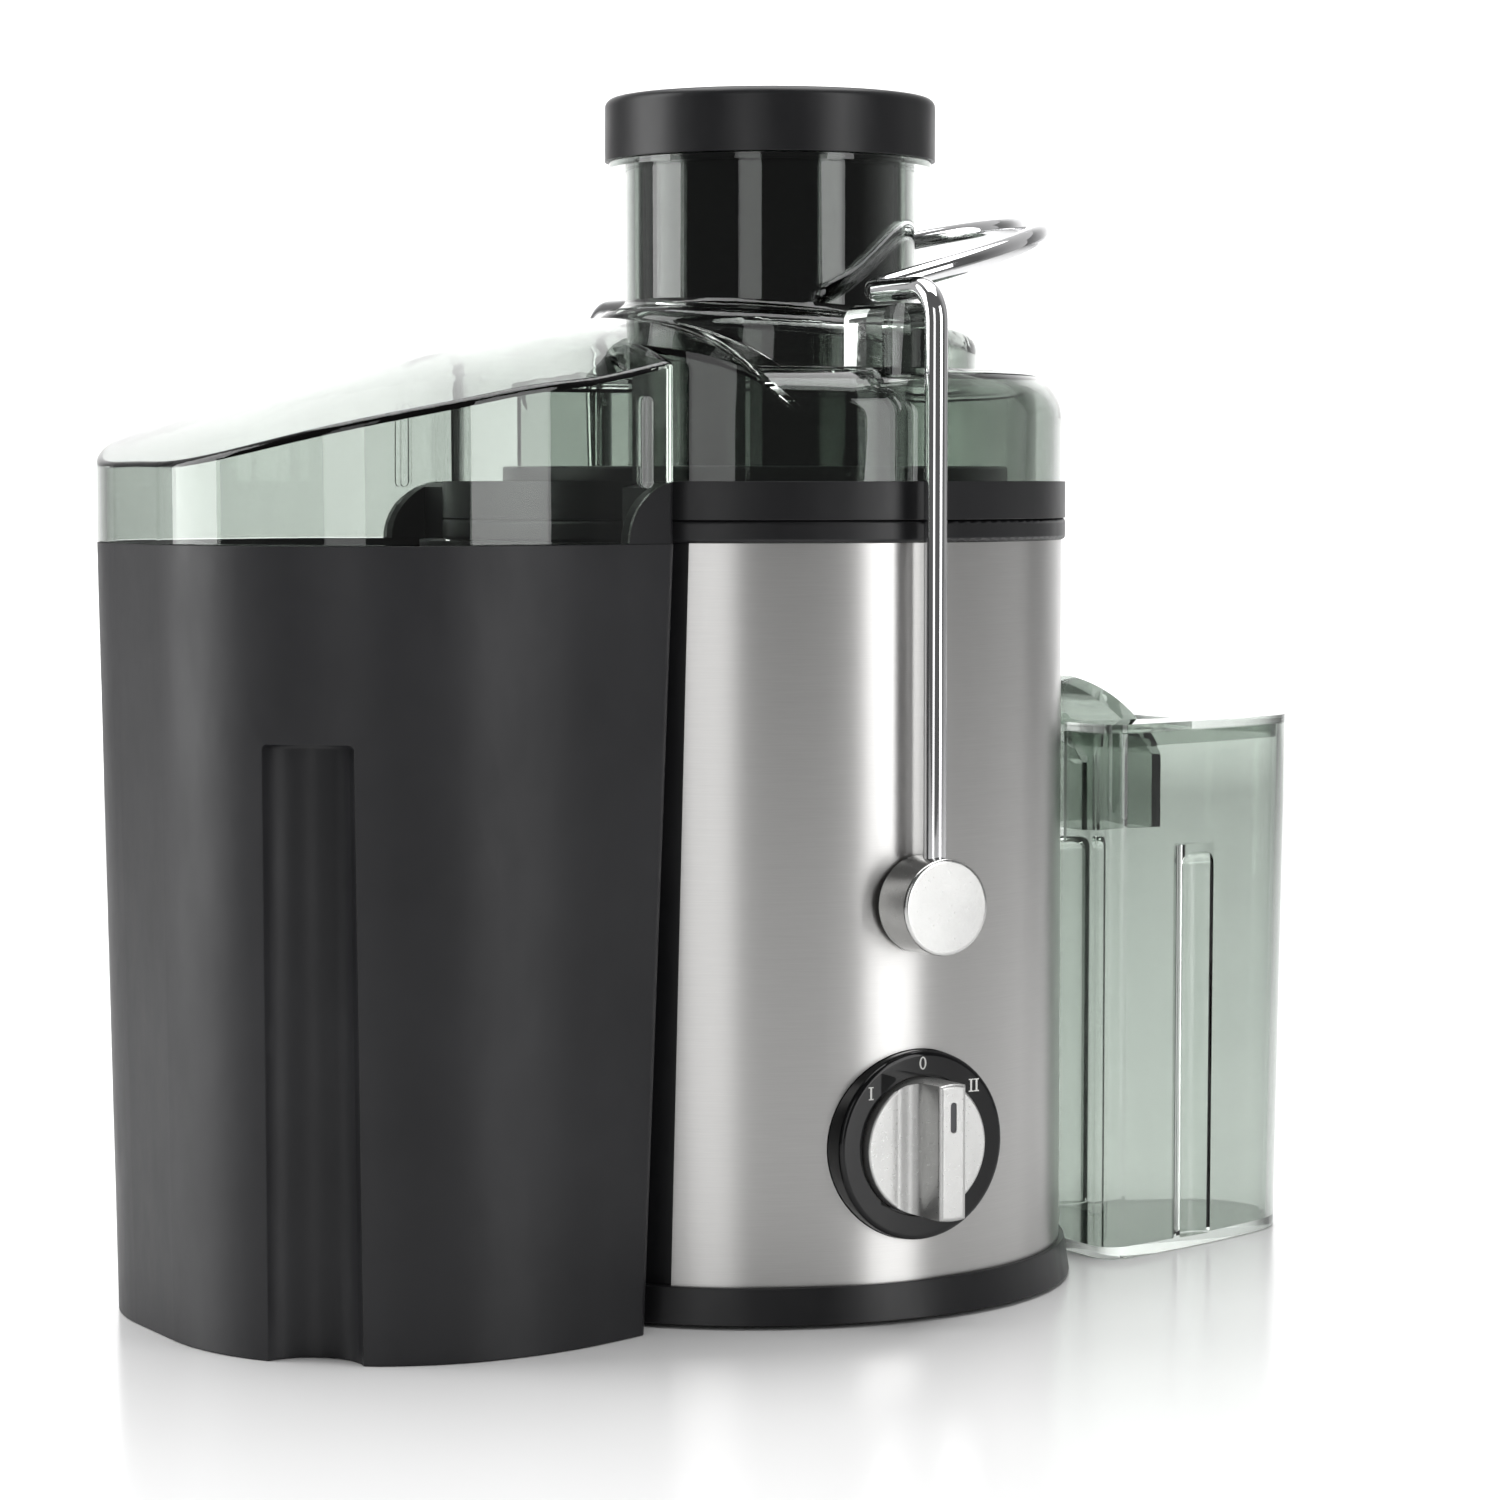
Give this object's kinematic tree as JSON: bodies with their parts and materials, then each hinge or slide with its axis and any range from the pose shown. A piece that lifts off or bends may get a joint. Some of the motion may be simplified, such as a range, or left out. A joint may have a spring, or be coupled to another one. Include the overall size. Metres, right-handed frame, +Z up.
{
  "type": "centrifugal juicer",
  "caption": "Upright centrifugal juicer with brushed steel motor base, clear lid with feed tube, wire locking arm, pulp bin and juice jug.",
  "frame": {"origin": "middle of the machine's footprint, on the table", "axes": "+X from the pulp bin towards the juice jug, -Y towards the dial, +Z up"},
  "size_m": [0.3605, 0.2026, 0.325],
  "materials": {
    "black_plastic": "fine matte",
    "gloss_black": "gloss",
    "wrap_steel": "brushed round the base",
    "bail_chrome": "polished",
    "smoke_clear": "clear, smoke green",
    "knob_silver": "satin",
    "foot_rubber": "matte",
    "mesh_steel": "pierced sheet",
    "motor_steel": "plain",
    "copper": "enamelled wire",
    "nylon": "natural",
    "carbon": "dry"
  },
  "bodies": {
    "base": {"base_ring": "black_plastic", "bottom_cover": "black_plastic", "rubber_feet": "foot_rubber", "housing_screws": "motor_steel", "motor_housing": "black_plastic", "steel_wrap": "wrap_steel", "top_collar": "black_plastic", "cord_inlet": "foot_rubber", "dial_bezel": "gloss_black", "rotary_switch": "black_plastic", "safety_switch": "black_plastic", "pivot_bosses": "black_plastic", "pivot_pins": "motor_steel", "motor_stator": "motor_steel", "stator_windings": "copper", "upper_bracket": "motor_steel", "lower_bracket": "motor_steel", "motor_mounts": "foot_rubber", "stay_bolts": "motor_steel", "upper_bearing": "motor_steel", "lower_bearing": "motor_steel", "brush_holders": "nylon", "carbon_brushes": "carbon", "shaft_seal": "foot_rubber", "juice_bowl": "black_plastic", "juice_spout": "smoke_clear", "lid": "smoke_clear"},
    "spinner": {"motor_shaft": "motor_steel", "armature": "motor_steel", "commutator": "copper", "cooling_fan": "nylon", "drive_coupling": "nylon", "basket_hub": "black_plastic", "grater_disc": "mesh_steel", "filter_mesh": "mesh_steel", "basket_rim": "black_plastic"},
    "bail": {"bail_rod": "bail_chrome", "front_pivot_cap": "bail_chrome", "rear_pivot_cap": "bail_chrome"},
    "dial": {"dial_knob": "knob_silver", "knob_spindle": "motor_steel"},
    "pusher": {"pusher_body": "black_plastic", "pusher_cap": "black_plastic"},
    "bin": {"pulp_bin": "black_plastic"},
    "jug": {"juice_jug": "smoke_clear"},
    "jug_cover": {"jug_lid": "smoke_clear"}
  },
  "joints": [
    {"name": "dial_turn", "type": "hinge", "parent": "base", "child": "dial", "pos_m": [0.00275, -0.08825, 0.0465], "axis": [0, -1, 0], "range_deg": [-45, 45]},
    {"name": "bail_swing", "type": "hinge", "parent": "base", "child": "bail", "pos_m": [0.00275, 0.00175, 0.11], "axis": [0, 1, 0], "range_deg": [0, 55]},
    {"name": "pusher_lift", "type": "slide", "parent": "base", "child": "pusher", "axis": [0, 0, 1], "range_m": [0, 0.125]},
    {"name": "basket_spin", "type": "hinge", "parent": "base", "child": "spinner", "pos_m": [0.00275, 0.00175, 0.15], "axis": [0, 0, 1], "continuous": true},
    {"name": "bin_slide", "type": "slide", "parent": "base", "child": "bin", "axis": [-1, 0, 0], "range_m": [0, 0.12]},
    {"name": "jug_slide", "type": "slide", "parent": "base", "child": "jug", "axis": [1, 0, 0], "range_m": [0, 0.12]},
    {"name": "jug_lid_lift", "type": "slide", "parent": "jug", "child": "jug_cover", "axis": [0, 0, 1], "range_m": [0, 0.06]}
  ]
}
